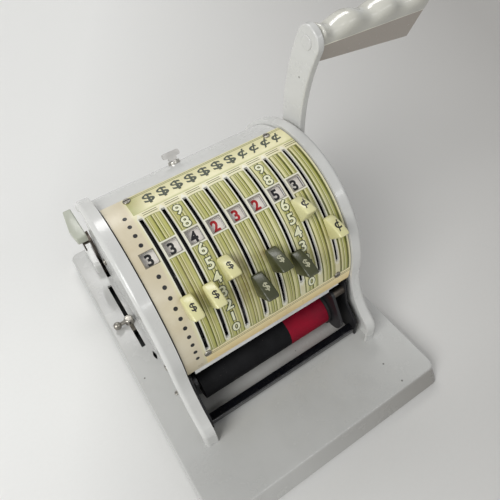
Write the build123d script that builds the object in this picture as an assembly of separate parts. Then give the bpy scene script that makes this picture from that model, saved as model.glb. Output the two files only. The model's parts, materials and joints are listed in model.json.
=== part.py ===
from build123d import *
import os
from math import cos, radians, sin, tan

# Check writer with eight selector levers, in millimetres.
# +X is the operator's right, +Y the back and +Z up.
# The origin lies on the table, under the middle of the base.
# Side-view points are (y, z). Dial angles run from straight up towards the front.

os.makedirs("parts", exist_ok=True)

# ---- driving dimensions -------------------------------------------------------------

FIT = 0.05                     # radial clearance of a pin in its hole

BASE_WIDTH = 227.4
BASE_DEPTH = 323.0
BASE_EDGE = 1.5                # lower edge of the shell above the table
BASE_TOP = 16.5
BASE_CORNER = 8.0
BASE_ROUND = 2.2
FRONT_FLARE = 8.0              # how far the front wall slopes out at its foot
BASE_WALL = 5.0
BASE_SKIN = 3.0
BASE_CEILING = BASE_TOP - BASE_SKIN
FOOT_X = 98.0
FOOT_Y = 142.0
FOOT_HEIGHT = 4.0
FLOOR_SHEET = 1.2
FLOOR_TOP = FOOT_HEIGHT + FLOOR_SHEET

DIAL_Y = 5.6                   # the levers' shaft
DIAL_Z = 97.5
PLATE_R = 84.9
PLATE_SHEET = 0.6
BED_SHEET = 1.6
BED_R = PLATE_R - PLATE_SHEET
COVER_R = 82.6
COVER_SHEET = 1.5
PLATE_TOP = -9.8               # dial angles of the plate's two ends
PLATE_END = 99.4
PLATE_X = 78.1
COVER_X = 78.2
COVER_FRONT = -3.0
COVER_BACK = -60.0             # here the round cover runs into its straight slope

LEVERS = 8
PITCH = 17.5
FIRST_SLOT_X = -57.8
SLOT_WIDTH = 3.0
SLOT_START = 7.7
SLOT_END_LONG = 86.0
SLOT_END_SHORT = 78.35
LONG_SLOTS = 5
NINE_ANGLE = 8.6               # lever angle that shows a nine
STEP_ANGLE = 7.65              # lever travel from one digit to the next
SHOWN_DIGITS = (3, 3, 4, 2, 3, 2, 5, 3)
SMALL_KEYS = (1, 2, 3, 7, 8)
WINDOW_OFFSET = -8.75
WINDOW_ANGLE = 28.2
WINDOW_SIZE = 10.3

SHAFT_D = 8.0
HUB_R = 24.0
HUB_HALF = 3.5
BLADE_HALF = 1.0
STEM_REACH = 4.5               # how far a stem stands out of the dial plate
BAND_R = 80.5
BAND_SHEET = 1.5
BAND_START = -61.0
BAND_END = 24.0
TYPE_R = 74.0
TYPE_HALF = 4.0
TYPE_START = 98.0
TYPE_END = 175.0
DETENT_ANGLE = -76.0

PANEL_R = 86.5
PANEL_IN = 79.1
PANEL_OUT = 86.0
PANEL_WALL = 2.0
BEAD_OUT = 90.0
BEAD_WIDTH = 8.2

FRAME_IN = 76.0
FRAME_SHEET = 2.0
FRAME_OUT = FRAME_IN + FRAME_SHEET

ROLLER = (-64.1, 36.0)
ROLLER_R = 15.0
INKER_PIVOT = (-74.5, 64.0)
INKER_PIN_D = 5.0

CRANK = (20.5, 80.0)
CRANK_D = 10.0
ECCENTRIC_R = 10.0
ECCENTRIC_THROW = 1.83
ARM_IN = 91.0
ARM_OUT = 97.0
ARM_HALF = 12.0
ARM_BEND_Z = 165.0
ARM_BEND_R = 208.0
ARM_LEAN = 26.0

PLATEN_HALF = 5.0
LEFT_SLOT_X = -93.0
LOCK_X = -5.0
LOCK_ANGLE = -32.4

# ---- helpers ------------------------------------------------------------------------


def on_dial(radius, angle):
    """Side-view point at a radius and angle about the levers' shaft."""
    return (DIAL_Y - radius * sin(radians(angle)), DIAL_Z + radius * cos(radians(angle)))


def at_dial(x, radius, angle):
    """Place whose Z axis points straight out of the dial."""
    y, z = on_dial(radius, angle)
    return Pos(x, y, z) * Rot(angle, 0, 0)


def slab(face, x_low, x_high):
    """Side-view face made solid from one X to another."""
    return extrude(Plane.YZ.offset(x_low) * face, amount=x_high - x_low)


def block(low, high):
    """Box between two corners."""
    size = [b - a for a, b in zip(low, high)]
    return Pos(*low) * Box(*size, align=(Align.MIN, Align.MIN, Align.MIN))


def rod(x_low, x_high, centre, diameter):
    """Round bar along X through a side-view point."""
    return slab(Pos(*centre) * Circle(diameter / 2), x_low, x_high)


def post(x, y, z_low, z_high, diameter):
    """Upright round bar."""
    bar = Cylinder(diameter / 2, z_high - z_low, align=(Align.CENTER, Align.CENTER, Align.MIN))
    return Pos(x, y, z_low) * bar


def polygon(*points):
    """Side-view face with straight sides."""
    return make_face(Polyline(*points, close=True))


def dial_sector(inner, outer, start, end):
    """Side-view face of a ring sector about the levers' shaft."""
    middle = (start + end) / 2
    return make_face([
        ThreePointArc(on_dial(outer, start), on_dial(outer, middle), on_dial(outer, end)),
        Line(on_dial(outer, end), on_dial(inner, end)),
        ThreePointArc(on_dial(inner, end), on_dial(inner, middle), on_dial(inner, start)),
        Line(on_dial(inner, start), on_dial(outer, start)),
    ])


def slotted_head(diameter, height, slot=1.0):
    """Domed screw head with a driver slot, standing on the XY plane."""
    head = Cylinder(diameter / 2, height, align=(Align.CENTER, Align.CENTER, Align.MIN))
    head = fillet(head.edges().group_by(Axis.Z)[-1], height * 0.7)
    return head - Pos(0, 0, height) * Box(diameter, slot, height)


def screw(diameter, length, head_diameter, head_height):
    """Slotted screw: the head stands on the XY plane and the shank hangs below it."""
    shank = Cylinder(diameter / 2, length, align=(Align.CENTER, Align.CENTER, Align.MAX))
    return slotted_head(head_diameter, head_height) + shank


def save(name, *solids):
    """Write one sub-part. Several solids stay separate in it."""
    shape = solids[0] if len(solids) == 1 else Compound(children=list(solids))
    export_step(shape, f"parts/{name}.step")


def slot_x(number):
    return FIRST_SLOT_X + PITCH * (number - 1)


def lever_angle(digit):
    return NINE_ANGLE + STEP_ANGLE * (9 - digit)


# ---- base ---------------------------------------------------------------------------

feet_places = [(x, y) for x in (-FOOT_X, FOOT_X) for y in (-FOOT_Y, FOOT_Y)]


def rounded_slab(half_x, half_y, z_low, z_high, corner):
    """Flat slab with round upright corners."""
    slab_box = block((-half_x, -half_y, z_low), (half_x, half_y, z_high))
    return fillet(slab_box.edges().filter_by(Axis.Z), corner)


base_side = polygon((-BASE_DEPTH / 2 - FRONT_FLARE, BASE_EDGE), (BASE_DEPTH / 2, BASE_EDGE),
                    (BASE_DEPTH / 2, BASE_TOP), (-BASE_DEPTH / 2, BASE_TOP))
base = slab(base_side, -BASE_WIDTH / 2, BASE_WIDTH / 2)
base = fillet(base.edges().filter_by(lambda edge: abs(edge.tangent_at(0.5).Z) > 0.5), BASE_CORNER)
base = fillet(base.edges().group_by(Axis.Z)[-1], BASE_ROUND)
pocket_half_x = BASE_WIDTH / 2 - BASE_WALL
pocket_half_y = BASE_DEPTH / 2 - BASE_WALL
pocket_corner = BASE_CORNER - BASE_WALL
base -= rounded_slab(pocket_half_x, pocket_half_y, BASE_EDGE, BASE_CEILING, pocket_corner)
for x, y in feet_places:
    base += post(x, y, FLOOR_TOP, BASE_CEILING, 10.0)
    base -= post(x, y, FLOOR_TOP, BASE_CEILING - 0.5, 3.0 + 2 * FIT)

platen_window = (74.0, PLATEN_HALF + 2.0)
base -= block((-platen_window[0], DIAL_Y - platen_window[1], BASE_CEILING),
              (platen_window[0], DIAL_Y + platen_window[1], BASE_TOP))
yoke_in = 79.8
yoke_out = 82.2
base -= block((yoke_in - 0.5, DIAL_Y - PLATEN_HALF - 1.0, BASE_CEILING),
              (yoke_out + 0.5, DIAL_Y + PLATEN_HALF + 1.0, BASE_TOP))
base -= block((LEFT_SLOT_X - 2.0, 8.0, BASE_CEILING), (LEFT_SLOT_X + 2.0, 96.0, BASE_TOP))
base -= block((-90.0, 107.0, BASE_CEILING), (-86.2, 140.0, BASE_TOP))
leaf = make_face([
    ThreePointArc((-88.3, -12.0), (-86.9, -6.6), (-88.3, -1.2)),
    ThreePointArc((-88.3, -1.2), (-89.7, -6.6), (-88.3, -12.0)),
])
base -= Pos(0, 0, BASE_CEILING) * extrude(leaf, amount=BASE_SKIN)

frame_screw_places = [(x, y) for x in (-81.0, 81.0) for y in (-70.0, -25.0, 48.0, 100.0)]
for x, y in frame_screw_places:
    base -= post(x, y, BASE_CEILING, BASE_TOP, 2.6 + 2 * FIT)
save("base_plate", base)

floor_gap = 0.4
floor_plate = rounded_slab(pocket_half_x - floor_gap, pocket_half_y - floor_gap,
                           FOOT_HEIGHT, FLOOR_TOP, pocket_corner - floor_gap)
for x, y in feet_places:
    floor_plate -= post(x, y, FOOT_HEIGHT, FLOOR_TOP, 3.0 + 2 * FIT)
save("bottom_cover", floor_plate)

foot = Cone(7.5, 9.0, FOOT_HEIGHT, align=(Align.CENTER, Align.CENTER, Align.MIN))
foot -= Cylinder(1.5 + FIT, FOOT_HEIGHT, align=(Align.CENTER, Align.CENTER, Align.MIN))
foot -= Cylinder(3.4, 2.6, align=(Align.CENTER, Align.CENTER, Align.MIN))
foot_screw = Pos(0, 0, 2.6) * Rot(180, 0, 0) * screw(3.0, 9.6, 6.0, 1.6)
save("rubber_feet", *[Pos(x, y, 0) * foot for x, y in feet_places])
save("feet_screws", *[Pos(x, y, 0) * foot_screw for x, y in feet_places])

# ---- side panels --------------------------------------------------------------------

FLARE_TOP = 90.0
FLARE_R = 60.0
FLARE_TURN = 50.0
ANKLE_LENGTH = 3.5
TOE_R = 12.0
SKIRT = 20.0                   # how far the outline runs below the base before it is cut


def slope_foot(radius, z):
    """Y of the straight rear slope that leaves a circle of this radius."""
    start_y, start_z = on_dial(radius, COVER_BACK)
    return start_y + (start_z - z) / tan(radians(-COVER_BACK))


def panel_outline():
    """Side view of a panel: round over the dial, sloping behind, flared to a toe in front."""
    low = BASE_TOP - SKIRT
    slope = Line((slope_foot(PANEL_R, low), low), on_dial(PANEL_R, COVER_BACK))
    crown = ThreePointArc(slope @ 1, on_dial(PANEL_R, 15), on_dial(PANEL_R, 90))
    drop = Line(crown @ 1, ((crown @ 1).X, FLARE_TOP))
    flare = JernArc(drop @ 1, drop % 1, FLARE_R, -FLARE_TURN)
    ankle = Line(flare @ 1, flare @ 1 + flare % 1 * ANKLE_LENGTH)
    toe = JernArc(ankle @ 1, ankle % 1, TOE_R, FLARE_TURN)
    heel = Line(toe @ 1, ((toe @ 1).X, low))
    sole = Line(heel @ 1, slope @ 0)
    return make_face([slope, crown, drop, flare, ankle, toe, heel, sole])


outline = panel_outline()
below_base = block((70.0, -200.0, -60.0), (100.0, 250.0, BASE_TOP))
wall = slab(outline, PANEL_OUT - PANEL_WALL, PANEL_OUT)
rim = slab(outline - offset(outline, -PANEL_WALL), PANEL_IN, PANEL_OUT - PANEL_WALL)
inner_lip = slab(outline - offset(outline, -8.5), PANEL_IN, PANEL_IN + 1.6)
inner_lip -= block((70.0, -200.0, -60.0), (100.0, -50.0, 86.0))
bead = slab(outline - offset(outline, -BEAD_WIDTH), PANEL_OUT, BEAD_OUT)
bead = fillet(bead.faces().sort_by(Axis.X)[-1].edges(), 3.6)
bead_end_y, bead_end_z = on_dial(PANEL_R + 5.0, -48.0)
bead -= block((80.0, bead_end_y - 12.0, -60.0), (100.0, 250.0, bead_end_z - 8.0))
panel = wall + rim + inner_lip + bead

panel_screw_places = [(-45.0, 52.0), (88.0, 60.0), (-12.0, 158.0)]
for place in panel_screw_places:
    panel += rod(FRAME_OUT + 0.1, PANEL_OUT - PANEL_WALL, place, 9.0)
    panel -= rod(FRAME_OUT, PANEL_OUT, place, 3.4 + 2 * FIT)
panel -= below_base
left_panel = mirror(panel, about=Plane.YZ)
right_panel = panel - rod(PANEL_OUT - PANEL_WALL, PANEL_OUT, CRANK, 14.0 + 2 * FIT)
save("left_side_panel", left_panel)
save("right_side_panel", right_panel)

panel_screw = Rot(0, 90, 0) * screw(3.4, 10.4, 7.0, 2.2)
right_screws = [Pos(PANEL_OUT, y, z) * panel_screw for y, z in panel_screw_places]
save("side_panel_screws", *right_screws, *[mirror(s, about=Plane.YZ) for s in right_screws])

# ---- top cover and lock -------------------------------------------------------------


def cover_line(radius):
    """Side-view ends of one face of the cover: front, tangent point and foot."""
    foot_point = (slope_foot(radius, BASE_TOP), BASE_TOP)
    return on_dial(radius, COVER_FRONT), on_dial(radius, COVER_BACK), foot_point


cover_in_r = COVER_R - COVER_SHEET
middle_angle = (COVER_FRONT + COVER_BACK) / 2
out_front, out_back, out_foot = cover_line(COVER_R)
in_front, in_back, in_foot = cover_line(cover_in_r)
cover_face = make_face([
    ThreePointArc(out_front, on_dial(COVER_R, middle_angle), out_back),
    Line(out_back, out_foot),
    Line(out_foot, in_foot),
    Line(in_foot, in_back),
    ThreePointArc(in_back, on_dial(cover_in_r, middle_angle), in_front),
    Line(in_front, out_front),
])
plate_screw_places = [(x, angle) for x in (-58.5, 64.0) for angle in (-7.0, 88.6)]
plate_screw_d = 2.6
plate_screw_cut = Cylinder(plate_screw_d / 2 + FIT, 12.0)
lock_place = at_dial(LOCK_X, COVER_R, LOCK_ANGLE)
cover = slab(cover_face, -COVER_X, COVER_X)
cover -= lock_place * Cylinder(4.0 + FIT, 12.0)
for x, angle in plate_screw_places:
    cover -= at_dial(x, PLATE_R, angle) * plate_screw_cut
save("top_cover", cover)

sleeve = Cylinder(5.0, 2.4, align=(Align.CENTER, Align.CENTER, Align.MIN))
sleeve = fillet(sleeve.edges().group_by(Axis.Z)[-1], 0.8)
sleeve += Cylinder(4.0, 1.4, align=(Align.CENTER, Align.CENTER, Align.MAX))
sleeve -= Cylinder(2.5 + FIT, 12.0)
save("lock_sleeve", lock_place * sleeve)

lock_bow = Pos(0, 0, 6.4) * Box(7.0, 2.4, 6.0)
lock_bow += Pos(0, 0, 10.6) * Box(17.0, 2.4, 4.4)
lock_bow = fillet(lock_bow.edges().filter_by(Axis.Y), 1.2)
lock_stem = Cylinder(2.5, 5.5, align=(Align.CENTER, Align.CENTER, Align.MIN))
save("lock_key", lock_place * (Pos(0, 0, -1.4) * lock_stem + lock_bow))

# ---- dial ---------------------------------------------------------------------------


def slot_end(number):
    return SLOT_END_LONG if number <= LONG_SLOTS else SLOT_END_SHORT


def window_cut(x):
    """Round-cornered tool for one reading window."""
    outline_2d = RectangleRounded(WINDOW_SIZE, WINDOW_SIZE, 1.6)
    return at_dial(x, PLATE_R - 4.0, WINDOW_ANGLE) * extrude(outline_2d, amount=8.0)


def dial_sheet(inner, outer):
    """One curved layer of the dial, with its slots, windows and screw holes."""
    sheet = slab(dial_sector(inner, outer, PLATE_TOP, PLATE_END), -PLATE_X, PLATE_X)
    for number in range(1, LEVERS + 1):
        x = slot_x(number)
        slot_face = dial_sector(inner - 2, outer + 2, SLOT_START, slot_end(number))
        sheet -= slab(slot_face, x - SLOT_WIDTH / 2, x + SLOT_WIDTH / 2)
        sheet -= window_cut(x + WINDOW_OFFSET)
    for x, angle in plate_screw_places:
        sheet -= at_dial(x, PLATE_R, angle) * plate_screw_cut
    return sheet


save("dial_plate", dial_sheet(BED_R, PLATE_R))
bed = dial_sheet(BED_R - BED_SHEET, BED_R)
lip_front = -77.6
lip_back = -76.2
lip_top = 85.0
lip = block((-72.0, lip_front, 77.5), (58.0, lip_back, lip_top))
lip += block((58.0, lip_front, 80.6), (68.0, lip_back, lip_top))
lip -= slab(dial_sector(BED_R, PLATE_R + 2.0, 80.0, PLATE_END), -PLATE_X, PLATE_X)
save("dial_bed", bed + lip)

plate_screw = screw(plate_screw_d, 3.4, 6.0, 1.2)
save("dial_plate_screws", *[at_dial(x, PLATE_R, angle) * plate_screw for x, angle in plate_screw_places])

# ---- frames, rods and paper path ----------------------------------------------------

GUIDE_BAR = (-92.0, 22.0)
SPRING_PLACE = (81.0, 33.0)
SPRING_LOW = 19.0
SPRING_HIGH = 49.4
SPRING_PIN_D = 1.8
tie_places = [on_dial(60.0, DETENT_ANGLE), (92.0, 36.0)]
TIE_D = 8.0
COMB_R = 50.0

frame_face = Pos(DIAL_Y, DIAL_Z) * Circle(COVER_R - COVER_SHEET - 0.1)
frame_face += dial_sector(60.0, BED_R - BED_SHEET - 0.1, COVER_FRONT + 1, PLATE_END - 1.5)
frame_face += polygon((-97.0, BASE_TOP), (-97.0, 33.5), (-81.5, 50.5), (-77.0, 75.0),
                      (DIAL_Y, DIAL_Z), (98.0, 70.0), (122.0, BASE_TOP))
frame = slab(frame_face, FRAME_IN, FRAME_OUT)
frame += block((FRAME_OUT, -80.0, BASE_TOP), (83.6, 112.0, BASE_TOP + 2.0))
frame -= block((FRAME_OUT, -3.0, BASE_TOP), (83.6, 15.0, BASE_TOP + 2.0))
frame -= rod(70.0, 90.0, (DIAL_Y, DIAL_Z), SHAFT_D + 2 * FIT)
frame -= rod(70.0, 90.0, INKER_PIVOT, INKER_PIN_D + 2 * FIT)
frame -= rod(70.0, 90.0, GUIDE_BAR, 4.0 + 2 * FIT)
for place in tie_places:
    frame -= rod(70.0, 90.0, place, 5.0 + 2 * FIT)
for place in panel_screw_places:
    frame -= rod(70.0, 90.0, place, 3.4 + 2 * FIT)
for x, y in frame_screw_places:
    frame -= post(x, y, BASE_TOP, BASE_TOP + 2.0, 2.6 + 2 * FIT)
save("left_frame", mirror(frame, about=Plane.YZ))
right_frame = frame - rod(70.0, 90.0, CRANK, CRANK_D + 2 * FIT)
right_frame += post(*SPRING_PLACE, BASE_TOP + 2.0, SPRING_LOW + 3.0, SPRING_PIN_D)
save("right_frame", right_frame)

frame_screw = screw(2.6, 4.6, 4.6, 1.6)
save("frame_screws", *[Pos(x, y, BASE_TOP + 2.0) * frame_screw for x, y in frame_screw_places])

tie_rods = []
for place in tie_places:
    tie = rod(-FRAME_IN, FRAME_IN, place, TIE_D)
    tie += rod(-FRAME_OUT - 2.4, FRAME_OUT + 2.4, place, 5.0)
    tie_rods.append(tie)
save("tie_rods", *tie_rods)

bar_face = Pos(*GUIDE_BAR) * RectangleRounded(8.0, 6.0, 1.0)
save("guide_bar", slab(bar_face, -FRAME_IN, FRAME_IN) + rod(-FRAME_OUT, FRAME_OUT, GUIDE_BAR, 4.0))

TABLE_TOP = 18.2
TABLE_SHEET = 1.2
table_low = TABLE_TOP - TABLE_SHEET
table_face = polygon((-86.6, BASE_TOP + 0.1), (-84.2, TABLE_TOP), (62.0, TABLE_TOP), (62.0, table_low),
                     (-83.2, table_low), (-84.6, BASE_TOP + 0.1))
table = slab(table_face, -75.4, 75.4)
for x in (-68.0, 0.0, 68.0):
    table += block((x - 3.0, -76.0, BASE_TOP), (x + 3.0, 60.0, table_low))
table -= block((-platen_window[0], DIAL_Y - platen_window[1], 0.0),
               (platen_window[0], DIAL_Y + platen_window[1], 30.0))
save("paper_table", table)

# ---- lever shaft, spacers and detents -----------------------------------------------

save("lever_shaft", rod(-FRAME_OUT - 1.4, FRAME_OUT + 1.4, (DIAL_Y, DIAL_Z), SHAFT_D))

clip_face = Pos(DIAL_Y, DIAL_Z) * (Circle(7.0) - Circle(SHAFT_D / 2 + FIT))
right_clip = slab(clip_face, FRAME_OUT, FRAME_OUT + 1.2)
save("shaft_clips", right_clip, mirror(right_clip, about=Plane.YZ))

tube = Pos(DIAL_Y, DIAL_Z) * (Circle(7.0) - Circle(SHAFT_D / 2 + FIT))
END_PLAY = 0.15
spacers = []
hub_faces = [-FRAME_IN]
for number in range(1, LEVERS + 1):
    hub_faces += [slot_x(number) - HUB_HALF, slot_x(number) + HUB_HALF]
hub_faces.append(FRAME_IN)
for low, high in zip(hub_faces[0::2], hub_faces[1::2]):
    spacers.append(slab(tube, low + END_PLAY, high - END_PLAY))
save("lever_spacers", *spacers)

comb_place = at_dial(0.0, COMB_R, DETENT_ANGLE)
comb = comb_place * Box(2 * FRAME_IN, 8.0, 3.0)
for number in range(1, LEVERS + 1):
    finger = Box(2.4, 1.0, COMB_R - HUB_R - 1.4, align=(Align.CENTER, Align.CENTER, Align.MAX))
    tip = Pos(0, 0, HUB_R + 1.4 - COMB_R) * Rot(0, 90, 0) * Cylinder(1.0, 2.4)
    comb += comb_place * Pos(slot_x(number), 0, 0) * (finger + tip)
save("detent_comb", comb)

# ---- the eight levers ---------------------------------------------------------------


def lever_segment(number):
    """Blade with its hub, printed band, type and stem, at the angle of the digit shown."""
    x = slot_x(number)
    rest = lever_angle(SHOWN_DIGITS[number - 1])
    blade = dial_sector(HUB_R - 2, BAND_R - BAND_SHEET, rest + BAND_START, rest + BAND_END)
    blade -= dial_sector(34.0, 70.0, rest + BAND_START + 8, rest - 8)
    blade += dial_sector(HUB_R - 2, TYPE_R - 6.0, rest + TYPE_START, rest + TYPE_END)
    blade -= dial_sector(34.0, 60.0, rest + TYPE_START + 9, rest + TYPE_END - 9)
    segment = slab(blade, x - BLADE_HALF, x + BLADE_HALF)
    hub_disc = Pos(DIAL_Y, DIAL_Z) * Circle(HUB_R)
    for step in range(11):
        notch_angle = DETENT_ANGLE - (NINE_ANGLE + STEP_ANGLE * step) + rest
        hub_disc -= Pos(*on_dial(HUB_R + 0.4, notch_angle)) * Circle(1.2)
    segment += slab(hub_disc, x - BLADE_HALF, x + BLADE_HALF)
    segment += slab(Pos(DIAL_Y, DIAL_Z) * Circle(10.0), x - HUB_HALF, x + HUB_HALF)
    band = dial_sector(BAND_R - BAND_SHEET, BAND_R, rest + BAND_START, rest + BAND_END)
    segment += slab(band, x - 14.0, x + BLADE_HALF)
    type_face = dial_sector(TYPE_R - 6.0, TYPE_R, rest + TYPE_START + 2, rest + TYPE_END)
    segment += slab(type_face, x - TYPE_HALF, x + TYPE_HALF)
    stem_height = PLATE_R + STEM_REACH - 76.0
    stem = Box(2 * BLADE_HALF, 2 * BLADE_HALF, stem_height, align=(Align.CENTER, Align.CENTER, Align.MIN))
    segment += at_dial(x, 76.0, rest) * stem
    return segment - rod(x - 10.0, x + 10.0, (DIAL_Y, DIAL_Z), SHAFT_D + 2 * FIT)


def lever_key(number):
    """Wedge key: its bulging finger face climbs away from the dial towards the front."""
    x = slot_x(number)
    rest = lever_angle(SHOWN_DIGITS[number - 1])
    small = number in SMALL_KEYS
    half_width = 4.5 if small else 5.0
    height = 19.5 if small else 22.5
    sole_r = PLATE_R + 1.6
    tail = on_dial(sole_r, rest - 3.8)
    heel = on_dial(sole_r, rest + 3.6)
    nose = on_dial(sole_r + 1.2, rest + 8.0)
    crest = on_dial(PLATE_R + height, rest + 4.6)
    tail_top = on_dial(PLATE_R + 3.6, rest - 4.2)
    bulge = on_dial(PLATE_R + 0.5 * height + 3.6, rest + 1.0)
    face = make_face([
        ThreePointArc(tail, on_dial(sole_r, rest - 0.1), heel),
        Line(heel, nose),
        Line(nose, crest),
        ThreePointArc(crest, bulge, tail_top),
        Line(tail_top, tail),
    ])
    key = slab(face, x - half_width, x + half_width)
    key = fillet(key.edges().filter_by(Axis.X).sort_by_distance((x, *crest))[0], 2.2)
    key = fillet(key.edges().filter_by(Axis.X).sort_by_distance((x, *nose))[0], 1.0)
    socket = 2 * (BLADE_HALF + FIT)
    stem_cut = Box(socket, socket, STEM_REACH + 0.2, align=(Align.CENTER, Align.CENTER, Align.MIN))
    return key - at_dial(x, PLATE_R, rest) * stem_cut


for number in range(1, LEVERS + 1):
    save(f"lever_segment_{number}", lever_segment(number))
    save(f"lever_key_{number}", lever_key(number))

# ---- ink roller and its arms --------------------------------------------------------

ROLLER_LEFT = -70.0
ROLLER_SPLIT = 18.0
ROLLER_RED_END = 59.0
ROLLER_RIGHT = 61.4
AXLE_D = 6.0
CORE_R = 11.0
left_arm_x = (-75.2, -72.8)
right_arm_x = (62.0, 64.6)


def roller_ring(inner, outer, x_low, x_high):
    return slab(Pos(*ROLLER) * (Circle(outer) - Circle(inner)), x_low, x_high)


core = roller_ring(AXLE_D / 2 + FIT, CORE_R, ROLLER_LEFT, ROLLER_RIGHT)
core += roller_ring(CORE_R, ROLLER_R + 1.4, ROLLER_RED_END + 0.1, ROLLER_RIGHT)
save("ink_roller_core", core)
save("ink_roller_black", roller_ring(CORE_R, ROLLER_R, ROLLER_LEFT, ROLLER_SPLIT))
save("ink_roller_red", roller_ring(CORE_R, ROLLER_R, ROLLER_SPLIT, ROLLER_RED_END))


def round_at(place, radius):
    """Edge of a disc, to wrap an arm's outline round."""
    return (Pos(*place) * Circle(radius)).edges()


arm_head = round_at(INKER_PIVOT, 5.0)
pin_hole = Pos(*INKER_PIVOT) * Circle(INKER_PIN_D / 2 + FIT)
arm_face = make_hull(arm_head + round_at(ROLLER, 9.0)) - pin_hole
guard_face = make_hull(arm_head + round_at(ROLLER, 14.0) + round_at((-78.0, 38.5), 14.0)) - pin_hole
inker = slab(arm_face, *left_arm_x) + slab(guard_face, *right_arm_x)
inker += rod(left_arm_x[0], right_arm_x[1], ROLLER, AXLE_D)
save("inker_yoke", inker)

left_stud = rod(-FRAME_OUT, -72.4, INKER_PIVOT, INKER_PIN_D)
right_stud = rod(61.7, FRAME_OUT, INKER_PIVOT, INKER_PIN_D)
right_stud += rod(65.2, FRAME_IN, INKER_PIVOT, INKER_PIN_D + 3.0)
save("inker_studs", left_stud, right_stud)

# ---- platen and its lift ------------------------------------------------------------

PLATEN_LOW = 7.5
PLATEN_TONGUE = 11.3
PLATEN_PAD_LOW = 19.2
PLATEN_PAD_TOP = 21.2
platen_y = (DIAL_Y - PLATEN_HALF, DIAL_Y + PLATEN_HALF)
platen = block((-71.0, platen_y[0], PLATEN_LOW), (71.0, platen_y[1], PLATEN_PAD_LOW))
platen += block((-77.0, platen_y[0], PLATEN_LOW), (yoke_in, platen_y[1], PLATEN_TONGUE))
save("platen", platen)
pad = block((-70.0, platen_y[0] + 0.6, PLATEN_PAD_LOW), (70.0, platen_y[1] - 0.6, PLATEN_PAD_TOP))
save("platen_pad", pad)

guide = block((72.0, DIAL_Y - 9.6, FLOOR_TOP + 0.1), (78.0, DIAL_Y + 9.6, BASE_CEILING - 0.1))
guide -= block((72.0, platen_y[0] - 0.4, 6.6), (78.0, platen_y[1] + 0.4, BASE_CEILING))
save("platen_guides", guide, mirror(guide, about=Plane.YZ))

window_gap = 0.3
yoke_face = Pos(22.0, CRANK[1]) * RectangleRounded(31.0, 2 * ECCENTRIC_R + 9.0, 3.0)
yoke_face += polygon((16.0, 67.0), (27.0, 67.0), (27.0, 46.0), (platen_y[1] - 0.2, 26.0),
                     (platen_y[1] - 0.2, PLATEN_LOW), (platen_y[0] + 0.2, PLATEN_LOW),
                     (platen_y[0] + 0.2, 30.0), (16.0, 48.0))
yoke_face -= Pos(22.0, CRANK[1]) * Rectangle(22.4, 2 * (ECCENTRIC_R + window_gap))
yoke_face += polygon((25.0, 56.0), (37.0, 56.0), (37.0, 50.0), (25.0, 50.0))
yoke = slab(yoke_face, yoke_in, yoke_out)
yoke += post(*SPRING_PLACE, SPRING_HIGH - 3.0, 51.0, SPRING_PIN_D)
save("platen_yoke", yoke)

# ---- handle -------------------------------------------------------------------------

shaft_cut = Circle(CRANK_D / 2 + FIT)
eccentric_face = Pos(CRANK[0] + ECCENTRIC_THROW, CRANK[1]) * Circle(ECCENTRIC_R) - Pos(*CRANK) * shaft_cut
save("press_eccentric", slab(eccentric_face, yoke_in, yoke_out))

bushing_face = Pos(*CRANK) * (Circle(7.0) - shaft_cut)
flange_face = Pos(*CRANK) * (Circle(13.0) - shaft_cut)
save("crank_bushing", slab(bushing_face, 83.0, 90.6) + slab(flange_face, PANEL_OUT, PANEL_OUT + 1.6))

crank_shaft = rod(75.4, ARM_OUT, CRANK, CRANK_D)
crank_cap = fillet(rod(ARM_OUT, ARM_OUT + 2.6, CRANK, 17.0).edges().group_by(Axis.X)[-1], 1.4)
save("crank_shaft", crank_shaft + crank_cap)

arm_y = CRANK[0]
inside = JernArc((arm_y - ARM_HALF, ARM_BEND_Z), (0, 1), ARM_BEND_R - ARM_HALF, ARM_LEAN)
outside = JernArc((arm_y + ARM_HALF, ARM_BEND_Z), (0, 1), ARM_BEND_R + ARM_HALF, ARM_LEAN)
grip_centre = (inside @ 1 + outside @ 1) / 2
arm_tip = grip_centre + (inside % 1) * ARM_HALF
arm_face = make_face([
    Line((arm_y - ARM_HALF, CRANK[1]), inside @ 0),
    inside,
    ThreePointArc(inside @ 1, arm_tip, outside @ 1),
    outside,
    Line(outside @ 0, (arm_y + ARM_HALF, CRANK[1])),
    ThreePointArc((arm_y + ARM_HALF, CRANK[1]), (arm_y, CRANK[1] - ARM_HALF), (arm_y - ARM_HALF, CRANK[1])),
])
arm = slab(arm_face, ARM_IN, ARM_OUT)
arm = fillet(arm.edges().group_by(Axis.X)[0] + arm.edges().group_by(Axis.X)[-1], 1.2)
grip_point = (grip_centre.X, grip_centre.Y)
arm -= rod(ARM_IN, ARM_OUT, CRANK, CRANK_D + 2 * FIT)
arm -= rod(ARM_IN, ARM_OUT, grip_point, 8.0 + 2 * FIT)
save("handle_arm", arm)

# Sections of the grip lie across it: how far in front of the arm's end, then how far above it.
# The flat side leans forward by GRIP_LEAN, and finger swells run along the rounded back.
GRIP_LEAN = 25.0
GRIP_START = ARM_OUT + 0.6
GRIP_END = 198.0
GRIP_FLAT = 7.5
GRIP_SWELLS = [(GRIP_START, 7.2), (104.0, 8.7), (111.0, 6.4), (118.0, 10.4), (125.0, 12.8), (133.5, 10.4),
               (142.0, 7.2), (149.5, 9.8), (157.0, 12.2), (165.5, 9.6), (174.0, 6.8), (181.5, 9.0),
               (189.0, 10.8), (194.0, 9.6), (GRIP_END, 7.4)]


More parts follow.
